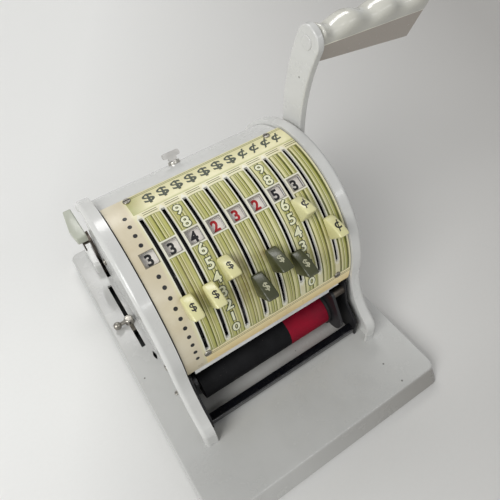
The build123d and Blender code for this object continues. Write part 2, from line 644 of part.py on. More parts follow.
def grip_section(x, swell):
    """D-shaped section of the grip, its flat side towards the front."""
    along = x - GRIP_START
    top = 0.5 - 0.07 * along
    bottom = -15.2 - 0.187 * along
    back = make_face([
        Line((GRIP_FLAT, top), (GRIP_FLAT, bottom)),
        Spline((GRIP_FLAT, bottom), (1.0, bottom - 0.8), (-8.0, bottom + 3.5),
               (-13.6, (bottom + swell) / 2 - 2.0), (-12.4, swell - 10.0), (-7.0, swell - 3.6),
               (1.0, swell), (GRIP_FLAT, top)),
    ])
    place = Plane(origin=(x, grip_centre.X, grip_centre.Y), z_dir=(1, 0, 0),
                  x_dir=(0, -cos(radians(GRIP_LEAN)), -sin(radians(GRIP_LEAN))))
    return place * mirror(back, about=Plane.XZ)


grip = loft([grip_section(x, swell) for x, swell in GRIP_SWELLS])
grip -= rod(GRIP_START, GRIP_START + 32.0, grip_point, 8.0 + 2 * FIT)
save("handle_grip", grip)

bolt = rod(ARM_IN, GRIP_START + 30.0, grip_point, 8.0)
bolt += fillet(rod(ARM_IN - 0.8, ARM_IN, grip_point, 10.0).edges().group_by(Axis.X)[0], 0.4)
bolt += rod(ARM_OUT, GRIP_START, grip_point, 15.0)
save("grip_bolt", bolt)

spring_wire_r = 0.4
spring_coil = Helix(pitch=2.6, height=SPRING_HIGH - SPRING_LOW - 2 * spring_wire_r, radius=1.6)
spring_wire = sweep(Plane(spring_coil @ 0, z_dir=spring_coil % 0) * Circle(spring_wire_r), path=spring_coil)
save("handle_spring", Pos(*SPRING_PLACE, SPRING_LOW + spring_wire_r) * spring_wire)

# ---- left side of the base ----------------------------------------------------------

guard = block((-96.8, 118.0, BASE_TOP), (-89.9, 158.0, 30.0))
guard = fillet(guard.edges().filter_by(Axis.X).group_by(Axis.Z)[-1], 4.0)
guard = fillet(guard.faces().sort_by(Axis.X)[0].edges().filter_by(Axis.Y), 1.5)
save("guard_block", guard)

STOP_Y = 41.0
stop_slider = block((-98.0, STOP_Y - 9.0, 9.6), (-88.0, STOP_Y + 9.0, BASE_CEILING - 0.3))
stop_slider += block((-94.6, STOP_Y - 5.0, BASE_CEILING - 0.3), (-91.4, STOP_Y + 5.0, BASE_TOP + 1.0))
stop_nut = post(LEFT_SLOT_X, STOP_Y, BASE_TOP + 1.0, BASE_TOP + 7.6, 9.0)
stop_nut = fillet(stop_nut.edges().group_by(Axis.Z)[-1], 1.6)
ball_place = (-105.2, STOP_Y - 1.0, 22.0)
neck_tilt = Rot(0, -85, 0)
neck_cone = Cone(2.4, 1.6, 12.0, align=(Align.CENTER, Align.CENTER, Align.MIN))
stop_neck = Pos(LEFT_SLOT_X, STOP_Y - 0.5, 21.0) * neck_tilt * neck_cone
stop_ball = Pos(*ball_place) * neck_tilt * Sphere(4.0)
save("depth_stop", stop_slider + stop_nut + stop_neck + stop_ball)

CLEAR_X = (-89.4, -86.8)
clear_face = polygon((118.0, BASE_CEILING - 0.3), (118.0, 8.0), (150.0, 8.0), (150.0, BASE_CEILING - 0.3),
                     (138.4, BASE_CEILING - 0.3), (138.4, 22.0), (128.0, 60.0), (128.0, 70.0),
                     (113.0, 70.0), (113.0, 60.0), (129.4, 20.0), (129.4, BASE_CEILING - 0.3))
clear_arm = slab(clear_face, *CLEAR_X)
clear_arm += block((-95.2, 113.0, 68.4), (CLEAR_X[1], 128.0, 70.6))
clear_arm += block((-96.6, 113.0, 60.0), (-95.2, 121.0, 70.6))
clear_arm += block((-94.0, 122.0, 70.6), (-92.0, 138.0, 77.0))
clear_arm += block((-94.6, 113.6, 70.6), (-90.4, 128.0, 72.4))
save("clear_arm", clear_arm)

clear_key_face = polygon((111.0, 73.0), (156.0, 82.0), (156.0, 84.4), (111.0, 81.6))
clear_key_plan = make_face(Polyline((-98.3, 160.0), (-103.2, 128.0), (-103.2, 100.0), (-89.4, 100.0),
                                    (-91.0, 160.0), close=True))
clear_key = slab(clear_key_face, -104.0, -88.8) & extrude(clear_key_plan, amount=100.0)
clear_key = fillet(clear_key.edges().filter_by(Axis.X), 0.9)
clear_key = clear_key - block((-94.05, 121.95, 70.0), (-91.95, 138.05, 77.05))
save("clear_key", clear_key)

rivet = slotted_head(4.0, 1.2, 0.6)
save("base_rivets", Pos(-88.5, -52.0, BASE_TOP) * rivet, Pos(88.5, -52.0, BASE_TOP) * rivet)
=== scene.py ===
import json
import math
import bpy
from mathutils import Euler, Matrix, Vector


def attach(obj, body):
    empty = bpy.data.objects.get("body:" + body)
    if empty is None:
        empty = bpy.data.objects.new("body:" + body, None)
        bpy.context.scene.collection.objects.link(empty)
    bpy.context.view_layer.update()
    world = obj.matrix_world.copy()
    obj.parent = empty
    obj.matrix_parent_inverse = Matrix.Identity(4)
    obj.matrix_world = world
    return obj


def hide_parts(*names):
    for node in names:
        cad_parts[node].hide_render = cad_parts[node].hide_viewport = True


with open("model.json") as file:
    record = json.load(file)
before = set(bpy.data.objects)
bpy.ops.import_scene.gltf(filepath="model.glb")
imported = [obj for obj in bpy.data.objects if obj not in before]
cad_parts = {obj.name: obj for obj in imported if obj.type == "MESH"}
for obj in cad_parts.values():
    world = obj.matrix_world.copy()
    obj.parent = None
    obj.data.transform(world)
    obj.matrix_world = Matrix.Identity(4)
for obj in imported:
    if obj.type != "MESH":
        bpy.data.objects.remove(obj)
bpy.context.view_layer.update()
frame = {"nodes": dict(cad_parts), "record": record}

bl_info = {
    "name": "Check Writer",
    "version": (1, 0, 0),
    "blender": (4, 5, 0),
    "location": "3D View > Sidebar > Check Writer",
    "description": "Builds the looks of an eight-lever check writer round its packed model",
    "category": "Add Mesh",
}

MM = 0.001

# The dial, in millimetres and degrees. Everything on it turns about the levers' shaft, and
# angles run from its top towards the front.
DIAL_Y = 5.6
DIAL_Z = 97.5
PLATE_R = 84.9
BAND_R = 80.5
COVER_R = 82.6
LEVERS = 8
PITCH = 17.5                      # from one lever's slot to the next
FIRST_SLOT_X = -57.8
LONG_SLOTS = 5                    # the slots after these are shorter
NINE_ANGLE = 8.6                  # where a lever set to 9 stands
STEP_ANGLE = 7.65                 # from one digit to the next
SHOWN_DIGITS = (3, 3, 4, 2, 3, 2, 5, 3)
WINDOW_ANGLE = 28.2
WINDOW_OFFSET = -8.75             # from a lever's slot to its window

# Where the dial's printing begins and ends: as angles, then along the shaft.
PRINT_ANGLES = {
    "window": WINDOW_ANGLE,
    "column_top": 8.6,
    "column_end": 88.2,
    "banner_top": -8.9,
    "banner_end": 4.6,
    "double_rule": 6.2,
    "foot": 90.2,
    "slot_start": 7.7,
    "long_end": 86.0,
    "short_end": 78.35,
}
SIDE_STRIP_RIGHT = -62.0
BANNER_LEFT = -60.5
COLUMNS_LEFT = -60.0
COLUMNS_RIGHT = 76.4
WINDOWS_RIGHT = 66.0

# The levers' keys, and the marks on the keys, the dial and the levers' bands.
SMALL_KEYS = (1, 2, 3, 7, 8)      # the levers with cream keys; the others are olive
KEY_ROUND = 1.6
DOLLAR_LEVERS = 6                 # the levers after these count cents
RED_LEVERS = (4, 5, 6)
KEY_MARK_SIZES = {"$": 8.5, "¢": 12.0}
MARK_LIFT = 0.01                  # of a printed mark over the plate
SCALE_COLUMNS = (2, 6)            # the columns that carry printed figures
SCALE_LEAD = 4.0                  # angle from a lever's place to its printed figure
HIDDEN_DIGIT = 7                  # the window takes the place of this figure
BANNER_ANGLE = -2.2
BANNER_ROWS = (("dollar", "$", 7, -44.0, 11.6), ("cent", "¢", 4, 36.5, 10.6))
DOT_X = -67.0
DOT_SIZE = 13.0
DOT_ANGLES = tuple(4.0 + 5.6 * index for index in range(16))
DOT_WINDOW_GAP = 6.5              # no dot nearer than this angle to the windows' middle

# The base, and the flat side of the grip, which leans forward.
BASE_TOP = 16.5
BASE_FRONT = -161.5
GRIP_LEAN = 25.0
GRIP_FLAT = -100.3                # how far forward the flat side lies, along its lean
GRIP_EDGE = 239.7                 # how high its upper edge lies, along its lean

# The clearing key: a block, and the planes that shape it as a point and a direction outwards.
CLEAR_KEY_MIDDLE = (-96.0, 133.5, 78.7)
CLEAR_KEY_BLOCK = (14.4, 45.0, 11.4)
CLEAR_KEY_CUTS = (
    ((-96.0, 111.0, 81.6), (0.0, -2.8, 45.0)),      # top
    ((-96.0, 111.0, 73.0), (0.0, 9.0, -45.0)),      # underside, which rises to the back
    ((-103.2, 128.0, 79.0), (-32.0, -4.9, 0.0)),    # outer side, drawn in at the front
    ((-103.2, 120.0, 79.0), (-32.0, 3.8, 0.0)),     # outer side, drawn in at the back
    ((-96.0, 154.0, 79.0), (0.0, 1.0, 0.0)),        # back end
    ((-89.4, 100.0, 79.0), (60.0, 1.6, 0.0)),       # inner side
)

# The lock's T key, which stands on the cover behind the dial.
LOCK_X = -5.0
LOCK_ANGLE = -32.4
LOCK_BAR = (15.0, 3.0, 4.6)       # length, thickness and height of the T's bar
LOCK_BAR_RISE = 7.8               # from the cover to the bar's middle
LOCK_END_ROUND = 1.7
LOCK_NECK = 7.2                   # width of the neck under the bar
LOCK_NECK_DEPTH = 2.3
LOCK_STEP_DEPTH = 0.4             # where the neck narrows to the stem
LOCK_STEM_SHARE = 0.5             # the stem's width as a share of the neck's
LOCK_STEM_DEPTH = 4.2

# The stage, in metres, and the camera in millimetres and degrees.
FLOOR_SPAN = 3.4
SWEEP_RISES = ((0.0, 0.35, 0.25), (0.0, 0.15, 1.6))
ROOM_TONE = (228, 230, 232)
ROOM_LIGHT = 0.3                  # how brightly the room lights the object
ROOM_SEEN = 0.7                   # how bright it looks to the camera and in reflections
LAMPS = (
    # name, place, target, size, power and tone
    ("window_light", (-1.8, -0.8, 1.75), (0.0, 0.0, 0.1), (1.5, 1.5), 48.0, (1.0, 1.0, 0.99)),
    ("front_tube", (0.45, -1.43, 1.2), (0.0, -0.16, 0.02), (1.6, 0.12), 4.0, (1.0, 1.0, 1.0)),
    ("top_light", (0.5, 1.5, 1.9), (0.0, 0.0, 0.1), (1.3, 0.6), 17.0, (1.0, 0.99, 0.98)),
)
CAMERA_PLACE = (-105.86, -255.35, 421.18)
CAMERA_TURN = (40.0306, 4.4452, -33.0477)
CAMERA_LENS = 35.0
CAMERA_SENSOR = 36.0


def slot_x(number):
    """Where a lever's slot lies along the shaft."""
    return FIRST_SLOT_X + PITCH * (number - 1)


def lever_angle(digit):
    """Angle of a lever's key when it is set to a digit."""
    return NINE_ANGLE + STEP_ANGLE * (9 - digit)


def on_dial(x, radius, angle):
    """Point in millimetres at a radius and angle about the levers' shaft."""
    turn = math.radians(angle)
    return Vector((x, DIAL_Y - radius * math.sin(turn), DIAL_Z + radius * math.cos(turn)))


def dial_place(x, radius, angle):
    """Place on the dial whose Z points outwards and whose Y points up the dial."""
    return Matrix.Translation(on_dial(x, radius, angle) * MM) @ Matrix.Rotation(math.radians(angle), 4, "X")


# ---- finishes -----------------------------------------------------------------------


def rgb(red, green, blue):
    """Linear colour from display values of 0 to 255."""
    levels = [value / 255 for value in (red, green, blue)]
    return tuple(v / 12.92 if v <= 0.04045 else ((v + 0.055) / 1.055) ** 2.4 for v in levels) + (1.0,)


class Value:
    """A number that varies over the surface. Each operation adds its Math node."""

    def __init__(self, finish, socket):
        self.finish = finish
        self.socket = socket

    def math(self, operation, *others):
        """Add a Math node that takes this number first and the others after it."""
        return self.finish.add("ShaderNodeMath", {"operation": operation}, dict(enumerate((self, *others))))

    def __add__(self, other):
        return self.math("ADD", other)

    __radd__ = __add__

    def __sub__(self, other):
        return self.math("SUBTRACT", other)

    def __rsub__(self, other):
        return self.math("MULTIPLY", -1.0).math("ADD", other)

    def __mul__(self, other):
        return self.math("MULTIPLY", other)

    __rmul__ = __mul__

    def __truediv__(self, other):
        return self.math("DIVIDE", other)

    def __abs__(self):
        return self.math("ABSOLUTE")

    def fract(self):
        """What is left after the whole number."""
        return self.math("FRACT")

    def sine(self):
        return self.math("SINE")

    def above(self, edge, soft=0.12):
        """1 where the number is more than edge, with a soft step."""
        return self.finish.step(self, edge - soft, edge + soft)

    def below(self, edge, soft=0.12):
        """1 where the number is less than edge, with a soft step."""
        return 1.0 - self.above(edge, soft)

    def within(self, low, high, soft=0.12):
        """1 between low and high, with soft steps."""
        return self.above(low, soft) * self.below(high, soft)

    def line(self, centre, width, soft=0.12):
        """1 on a line of this width."""
        return abs(self - centre).below(width / 2, soft)

    def most(self, other):
        """The larger of two numbers."""
        return self.math("MAXIMUM", other)

    def least(self, other):
        """The smaller of two numbers."""
        return self.math("MINIMUM", other)


class Finish:
    """One material: a Principled shader and the nodes that vary it."""

    def __init__(self, name, **constants):
        self.material = bpy.data.materials.new(name)
        self.material.use_nodes = True
        self.tree = self.material.node_tree
        self.tree.nodes.clear()
        self.shader = self.tree.nodes.new("ShaderNodeBsdfPrincipled")
        output = self.tree.nodes.new("ShaderNodeOutputMaterial")
        self.tree.links.new(self.shader.outputs["BSDF"], output.inputs["Surface"])
        for socket, value in constants.items():
            self.shader.inputs[socket.replace("_", " ")].default_value = value
        self.place = self.tree.nodes.new("ShaderNodeTexCoord").outputs["Object"]

    def add(self, kind, settings, inputs, output=0):
        """Add a node: its settings first, then its socket values and links."""
        node = self.tree.nodes.new(kind)
        for name, value in settings.items():
            setattr(node, name, value)
        for key, value in inputs.items():
            if isinstance(value, Value):
                self.tree.links.new(value.socket, node.inputs[key])
            elif isinstance(value, bpy.types.NodeSocket):
                self.tree.links.new(value, node.inputs[key])
            else:
                node.inputs[key].default_value = value
        return Value(self, node.outputs[output])

    def step(self, value, low, high):
        """0 up to low and 1 from high, with a smooth rise between them."""
        settings = {"interpolation_type": "SMOOTHSTEP"}
        return self.add("ShaderNodeMapRange", settings, {0: value, 1: low, 2: high, 3: 0.0, 4: 1.0})

    def scaled(self, value, low, high, out_low=0.0, out_high=1.0):
        """Go straight from out_low to out_high as the value goes from low to high."""
        return self.add("ShaderNodeMapRange", {}, {0: value, 1: low, 2: high, 3: out_low, 4: out_high})

    def axes(self):
        """The point's X, Y and Z in millimetres."""
        parts = self.add("ShaderNodeSeparateXYZ", {}, {0: self.place})
        sockets = parts.socket.node.outputs
        return [Value(self, socket) * 1000.0 for socket in sockets]

    def mix(self, mask, first, second):
        """Colour that goes from first to second as the mask goes from 0 to 1."""
        return self.add("ShaderNodeMix", {"data_type": "RGBA"}, {0: mask, 6: first, 7: second}, 2)

    def stretched(self, scale):
        """The point with each axis scaled, so that a pattern runs along one of them."""
        return self.add("ShaderNodeMapping", {}, {"Vector": self.place, "Scale": scale})

    def noise(self, scale, detail=4.0, rough=0.55, where=None):
        """Cloudy pattern, from 0 to 1."""
        inputs = {"Vector": where or self.place, "Scale": scale, "Detail": detail, "Roughness": rough}
        return self.add("ShaderNodeTexNoise", {}, inputs)

    def cells(self, scale):
        """Distance from the nearest of many scattered points."""
        return self.add("ShaderNodeTexVoronoi", {}, {"Vector": self.place, "Scale": scale})

    def vary(self, socket, value):
        """Let a value drive one of the shader's sockets."""
        self.tree.links.new(value.socket, self.shader.inputs[socket])

    def colour(self, value):
        """Let a value drive the base colour."""
        self.vary("Base Color", value)

    def bump(self, height, strength, distance):
        """Raise the surface by a height pattern, in metres where the pattern is 1."""
        inputs = {"Strength": strength, "Distance": distance, "Height": height}
        self.vary("Normal", self.add("ShaderNodeBump", {}, inputs))


def enamel(name, base, worn):
    """Sprayed satin enamel: clouds of dust and a few dark specks, with painted shade that greys the base's
    walls and darkens its front wall towards the right.
    """
    finish = Finish(name, IOR=1.5, Coat_Weight=0.4, Coat_Roughness=0.1)
    cloud = finish.noise(14.0, 5.0)
    dust = finish.scaled(finish.noise(38.0, 6.0, 0.65), 0.5, 0.8, 0.0, 0.5)
    colour = finish.mix(finish.scaled(cloud, 0.35, 0.7), base, worn)
    colour = finish.mix(dust * 0.35, colour, rgb(172, 170, 164))
    x, y, z = finish.axes()
    # Painted shade: the base's walls, below its top, greyer.
    colour = finish.mix(z.below(BASE_TOP + 0.4, 0.3) * 0.4, colour, rgb(150, 150, 148))
    # Painted shade: the base's front wall darker, more so towards the right.
    painted_front_shade = y.below(BASE_FRONT, 1.6) * finish.scaled(x, -60.0, 110.0, 0.2, 0.95)
    colour = finish.mix(painted_front_shade, colour, rgb(138, 135, 130))
    speck = finish.cells(60.0).below(0.05, 0.015) * finish.noise(40.0).above(0.56, 0.02)
    colour = finish.mix(speck * 0.85, colour, rgb(64, 60, 54))
    finish.colour(colour)
    finish.vary("Roughness", finish.scaled(cloud, 0.3, 0.7, 0.22, 0.3) + dust * 0.12)
    finish.bump(finish.noise(420.0, 2.0) - speck * 0.8, 0.04, 0.0001)
    return finish.material


def metal(name, light, dark, rough, grain=(1.0, 1.0, 1.0), spots=0.0):
    """Metal with a directional grain, smoky patches and a few spots of tarnish."""
    finish = Finish(name, Metallic=1.0)
    patch = finish.noise(45.0, 4.0)
    lines = finish.noise(420.0, 5.0, 0.6, finish.stretched(grain))
    tarnish = finish.noise(130.0, 6.0, 0.7).above(0.72 - spots, 0.06)
    colour = finish.mix(finish.scaled(patch, 0.35, 0.7), light, dark)
    colour = finish.mix(tarnish * 0.6, colour, rgb(74, 64, 54))
    finish.colour(colour)
    finish.vary("Roughness", finish.scaled(lines, 0.3, 0.7, rough, rough + 0.16) + tarnish * 0.2)
    finish.bump(lines, 0.12, 0.0001)
    return finish.material


def black_coat(name, base, rough, rub=0.5, coat=0.0):
    """Black finish, dusty in places, with bare metal showing where it is rubbed."""
    finish = Finish(name, IOR=1.5, Coat_Weight=coat, Coat_Roughness=0.06)
    dust = finish.scaled(finish.noise(60.0, 5.0), 0.45, 0.8, 0.0, 0.3) * rub
    rubbed = finish.noise(260.0, 6.0, 0.75).above(0.72, 0.04) * rub
    colour = finish.mix(dust, base, rgb(66, 66, 70))
    colour = finish.mix(rubbed * 0.5, colour, rgb(104, 102, 100))
    finish.colour(colour)
    finish.vary("Metallic", rubbed * 0.8)
    finish.vary("Roughness", finish.scaled(finish.noise(120.0), 0.3, 0.7, rough, rough + 0.1))
    finish.bump(finish.noise(500.0, 3.0), 0.06 * rub, 0.0001)
    return finish.material


def browned_flat(finish, colour):
    """Paint shade on the grip's flat side, a darker brown-grey, and a pale line along its upper edge that is
    partly the moulding seam and partly a painted highlight.
    """
    x, y, z = finish.axes()
    lean = math.radians(GRIP_LEAN)
    reach = y * -math.cos(lean) - z * math.sin(lean) - GRIP_FLAT
    rise = z * math.cos(lean) - y * math.sin(lean) + x * 0.07 - GRIP_EDGE
    line = reach.above(-3.0, 0.2) * rise.within(-0.1, 0.7, 0.1)
    flat = reach.above(-0.3, 0.1) * rise.below(-0.1, 0.1)
    # Pale line along the flat side's upper edge: partly the moulding seam, partly a painted highlight.
    colour = finish.mix(line, colour, rgb(240, 238, 220))
    # Painted shade: the flat side, which faces forward and down, darker brown-grey.
    return finish.mix(flat, colour, rgb(168, 158, 147))


def moulded(name, base, shade, rough, speckle, coat=0.3, flat=None):
    """Moulded plastic with slight flow marks, handling dirt and tiny scratches."""
    finish = Finish(name, IOR=1.5, Coat_Weight=coat, Coat_Roughness=0.12)
    flow = finish.noise(30.0, 4.0, 0.5, finish.stretched((1.0, 0.4, 0.4)))
    dirt = finish.noise(240.0, 6.0, 0.75).above(0.66, 0.05)
    colour = finish.mix(finish.scaled(flow, 0.35, 0.7), base, shade)
    colour = finish.mix(dirt * speckle, colour, rgb(120, 108, 84))
    # flat, where given, paints shade and an edge highlight on the grip's flat side.
    if flat:
        colour = flat(finish, colour)
    finish.colour(colour)
    finish.vary("Roughness", finish.scaled(flow, 0.3, 0.7, rough, rough + 0.1) + dirt * 0.15)
    finish.bump(finish.noise(800.0, 2.0) - dirt * 0.4, 0.1, 0.0001)
    return finish.material


def inked_felt(name, base, shade):
    """Felt sleeve soaked with ink: short fibres, damp patches and specks of paper dust."""
    finish = Finish(name, IOR=1.3)
    fibre = finish.noise(1500.0, 4.0, 0.7)
    damp = finish.scaled(finish.noise(55.0, 4.0), 0.35, 0.7)
    lint = finish.cells(420.0).below(0.09, 0.02) * finish.noise(90.0).above(0.62, 0.03)
    colour = finish.mix(damp, base, shade)
    colour = finish.mix(lint * 0.35, colour, rgb(150, 130, 126))
    finish.colour(colour)
    finish.vary("Roughness", 0.75 - damp * 0.25)
    finish.bump(fibre, 0.5, 0.0004)
    return finish.material


def printed_plate(name):
    """The dial's printing: fluted green columns, white keylines and olive border rules, with painted shade
    round the windows.
    """
    finish = Finish(name, IOR=1.45, Coat_Weight=0.08, Coat_Roughness=0.15)
    x, y, z = finish.axes()
    turn = (y * -1.0 + DIAL_Y).math("ARCTAN2", z - DIAL_Z)
    arc = turn * PLATE_R
    arc_of = {key: math.radians(value) * PLATE_R for key, value in PRINT_ANGLES.items()}
    column = (x - FIRST_SLOT_X) / PITCH
    across = (column.fract() - 0.5) * PITCH
    from_middle = abs(across)
    from_slot = PITCH / 2 - from_middle
    right_of_strip = x.above(BANNER_LEFT)

    aged = finish.scaled(finish.noise(22.0, 5.0), 0.3, 0.75)
    cream = finish.mix(aged, rgb(222, 214, 192), rgb(208, 196, 168))
    paper = finish.mix(x.above(SIDE_STRIP_RIGHT, 1.5), cream, rgb(222, 216, 178))

    # Columns: flutes of uneven width, each shaded from cream to olive and ruled at its edge.
    warp = across * 0.29 + (across * 0.95 + x * 0.02).sine() * 0.2 + 0.35
    flute = warp.fract()
    down_the_dial = finish.stretched((1.0, 0.1, 0.1))
    streak = finish.scaled(finish.noise(55.0, 3.0, 0.5, down_the_dial), 0.35, 0.65)
    ground = finish.mix((flute * 1.2).least(1.0), rgb(228, 223, 178), rgb(152, 154, 52))
    ground = finish.mix(streak * 0.3, ground, rgb(200, 196, 120))
    rules = flute.above(0.78, 0.07).most(flute.line(0.4, 0.12, 0.05) * 0.55)
    ground = finish.mix(rules * 0.95, ground, rgb(76, 80, 14))
    arch = across * across * 0.018
    no_window = x.above(WINDOWS_RIGHT + 1.0) * 20.0
    from_windows = abs(arc - arc_of["window"]).most(no_window)

    def columns(slot_gap, window_gap, spread, right):
        """The columns' area, with arched ends, clear of the slots and the windows."""
        low = (arc - arch).above(arc_of["column_top"] - spread)
        high = (arc + arch).below(arc_of["column_end"] + spread)
        sides = from_slot.above(slot_gap) * x.above(COLUMNS_LEFT) * x.below(right)
        return sides * low * high * from_windows.above(window_gap)

    colour = finish.mix(columns(2.3, 6.9, 0.5, COLUMNS_RIGHT + 0.2), paper, rgb(128, 132, 62))
    colour = finish.mix(columns(2.75, 7.3, 0.0, COLUMNS_RIGHT), colour, ground)

    def ruled(colour, place, offsets, width, strength, tone):
        """Fine rules across the dial, at distances along its arc from a place."""
        for offset in offsets:
            rule = arc.line(arc_of[place] + offset, width, 0.2) * right_of_strip
            colour = finish.mix(rule * strength, colour, tone)
        return colour

    # Banner across the top, with a bevelled left end and rules that stop at the slots.
    banner = arc.within(arc_of["banner_top"], arc_of["banner_end"]) * right_of_strip
    bevel = finish.scaled(x, COLUMNS_LEFT, COLUMNS_LEFT + 13.0, 1.0, 0.0) * 0.85
    bevel = bevel.most(finish.scaled(arc, arc_of["banner_end"] - 2.2, arc_of["banner_end"], 0.0, 0.8))
    field = finish.mix(bevel, rgb(220, 214, 168), rgb(146, 152, 70))
    colour = finish.mix(banner, colour, field)
    near_slot = from_slot + abs(arc - arc_of["double_rule"]) * 0.32
    whole = near_slot.above(3.4, 0.3)
    colour = ruled(colour, "double_rule", (-0.9, 0.9), 0.7, whole, rgb(88, 94, 30))
    colour = ruled(colour, "banner_top", (0.4, 2.0), 0.7, 0.85, rgb(100, 106, 38))

    # Tan foot of the plate under two more rules.
    foot = finish.scaled(arc, arc_of["foot"] - 2.0, arc_of["foot"] + 9.0)
    tan = finish.mix(foot, rgb(248, 234, 186), rgb(244, 220, 162))
    colour = finish.mix(arc.above(arc_of["column_end"] + 1.2) * right_of_strip, colour, tan)
    colour = ruled(colour, "foot", (0.0, 1.8), 0.6, 0.95, rgb(92, 88, 34))

    # White keylines round the slots and the windows, and painted shade as a dark rim round each window.
    last_long = LONG_SLOTS - 0.1
    slot_end = finish.scaled(column, last_long, last_long + 0.01, arc_of["long_end"], arc_of["short_end"])
    ogive = (arc_of["slot_start"] - arc).most(arc - slot_end).most(0.0)
    slots = x.within(BANNER_LEFT - 0.1, WINDOWS_RIGHT + 2.0)
    keyline = (from_slot + ogive * 0.62).below(2.5) * slots * ogive.below(3.6, 0.3)
    colour = finish.mix(keyline, colour, rgb(226, 224, 204))
    pane = from_windows.below(6.9) * from_middle.below(8.8) * x.within(COLUMNS_LEFT, WINDOWS_RIGHT)
    colour = finish.mix(pane, colour, rgb(228, 226, 208))
    # Painted shade: a dark rim round each window, for the shadow at its edge.
    shade = from_windows.below(5.7, 0.2) * from_middle.below(5.7, 0.2) * x.within(-74.5, WINDOWS_RIGHT)
    colour = finish.mix(shade * 0.85, colour, rgb(98, 94, 84))

    # Age: warm smudges, darker brown patches round the keys' places and fine scratches.
    smudge = finish.scaled(finish.noise(36.0, 6.0, 0.65), 0.5, 0.8, 0.0, 0.4)
    colour = finish.mix(smudge, colour, rgb(186, 166, 122))
    # Darker brown in noisy patches round where the keys stand.
    near_keys = arc.within(66.0, 104.0, 14.0) * x.within(-52.0, 44.0, 12.0)
    brown_patches = finish.scaled(finish.noise(48.0, 5.0, 0.6), 0.48, 0.66, 0.0, 0.55) * near_keys
    colour = finish.mix(brown_patches, colour, rgb(124, 98, 66))
    scratch_place = finish.stretched((0.3, 1.4, 1.4))
    scratch = finish.noise(260.0, 6.0, 0.8, scratch_place).above(0.68, 0.03)
    colour = finish.mix(scratch * 0.4, colour, rgb(232, 230, 218))
    finish.colour(colour)
    finish.vary("Roughness", finish.scaled(finish.noise(70.0), 0.3, 0.7, 0.26, 0.4) + scratch * 0.1)
    finish.bump(finish.noise(600.0, 3.0) - rules * 0.3, 0.12, 0.0001)
    return finish.material


def digit_band(name):
    """Lever blades: dark steel, with the digit strip painted a warm grey."""
    finish = Finish(name, IOR=1.5)
    x, y, z = finish.axes()
    rise = z - DIAL_Z
    back = y - DIAL_Y
    radius = (rise * rise + back * back).math("SQRT")
    offset = ((x - FIRST_SLOT_X) / PITCH).fract() * PITCH
    strip = radius.above(BAND_R - 0.25, 0.05) * offset.within(3.7, 14.4, 0.3)
    patch = finish.noise(60.0, 5.0)
    worn = finish.scaled(patch, 0.35, 0.7)
    paint = finish.mix(worn, rgb(240, 235, 227), rgb(228, 220, 212))
    steel = finish.mix(worn, rgb(30, 30, 31), rgb(46, 45, 44))
    finish.colour(finish.mix(strip, steel, paint))
    finish.vary("Metallic", 0.6 - strip * 0.6)
    finish.vary("Roughness", finish.scaled(patch, 0.3, 0.7, 0.4, 0.55))
    finish.bump(finish.noise(500.0, 3.0), 0.12, 0.0001)
    return finish.material


def ink(name, base, worn, wear=0.25):
    """Printed or filled marks, slightly rubbed away."""
    finish = Finish(name, IOR=1.5)
    rub = finish.scaled(finish.noise(420.0, 6.0, 0.75), 0.5, 0.72, 0.0, wear)
    finish.colour(finish.mix(rub, base, worn))
    finish.vary("Roughness", 0.45 + rub * 0.3)
    finish.bump(finish.noise(900.0, 2.0), 0.1, 0.00005)
    return finish.material


def floor_paper(name, tone, painted_shade_tone):
    """Seamless paper with a faint fibre and painted light: brighter at the left, on the window's side, and
    darkened to a painted shade towards the right.
    """
    finish = Finish(name, Roughness=0.9)
    x, y, z = finish.axes()
    # Painted light: the colour fades from the lit tone at the left to the painted shade at the right.
    painted_falloff = finish.scaled(x * 0.97 - y * 0.5, -250.0, 520.0)
    colour = finish.mix(painted_falloff, tone, painted_shade_tone)
    fibre = finish.noise(300.0, 5.0)
    colour = finish.mix(finish.scaled(fibre, 0.3, 0.7, 0.0, 0.02), colour, rgb(120, 118, 112))
    finish.colour(colour)
    finish.bump(fibre, 0.05, 0.0002)
    return finish.material


# ---- modelling helpers --------------------------------------------------------------


def clear_selection():
    """Leave edit mode and select nothing."""
    if bpy.context.object and bpy.context.object.mode != "OBJECT":
        bpy.ops.object.mode_set(mode="OBJECT")
    bpy.ops.object.select_all(action="DESELECT")


def take(piece):
    """Make a piece the only one that is selected."""
    clear_selection()
    bpy.context.view_layer.objects.active = piece
    piece.select_set(True)


def begin_edit(piece, kind="FACE"):
    """Open a piece for editing with nothing selected."""
    take(piece)
    bpy.ops.object.mode_set(mode="EDIT")
    bpy.ops.mesh.select_mode(type=kind)
    bpy.ops.mesh.select_all(action="DESELECT")


def pick_faces(piece, test):
    """Select the faces that pass a test on their middle and normal."""
    bpy.ops.mesh.select_all(action="DESELECT")
    bpy.ops.object.mode_set(mode="OBJECT")
    for face in piece.data.polygons:
        face.select = test(face.center, face.normal)
    bpy.ops.object.mode_set(mode="EDIT")


def pick_edges(piece, test):
    """Select the edges that pass a test on their middle and direction."""
    bpy.ops.object.mode_set(mode="OBJECT")
    for edge in piece.data.edges:
        start, end = [piece.data.vertices[index].co for index in edge.vertices]
        edge.select = test((start + end) / 2, (end - start).normalized())
    bpy.ops.object.mode_set(mode="EDIT")


def extrude(*shift):
    """Extrude what is selected by a shift in metres."""
    bpy.ops.mesh.extrude_region_move(TRANSFORM_OT_translate={"value": shift})


def end_edit():
    """Close the piece that is open for editing."""
    bpy.ops.object.mode_set(mode="OBJECT")


def settle(piece, place=None, smooth=35.0):
    """Move a finished piece into its place, apply that place and smooth it."""
    take(piece)
    if place is not None:
        piece.matrix_world = place @ piece.matrix_world
    bpy.ops.object.transform_apply(location=True, rotation=True, scale=True)
    bpy.ops.object.shade_smooth_by_angle(angle=math.radians(smooth))
    return piece


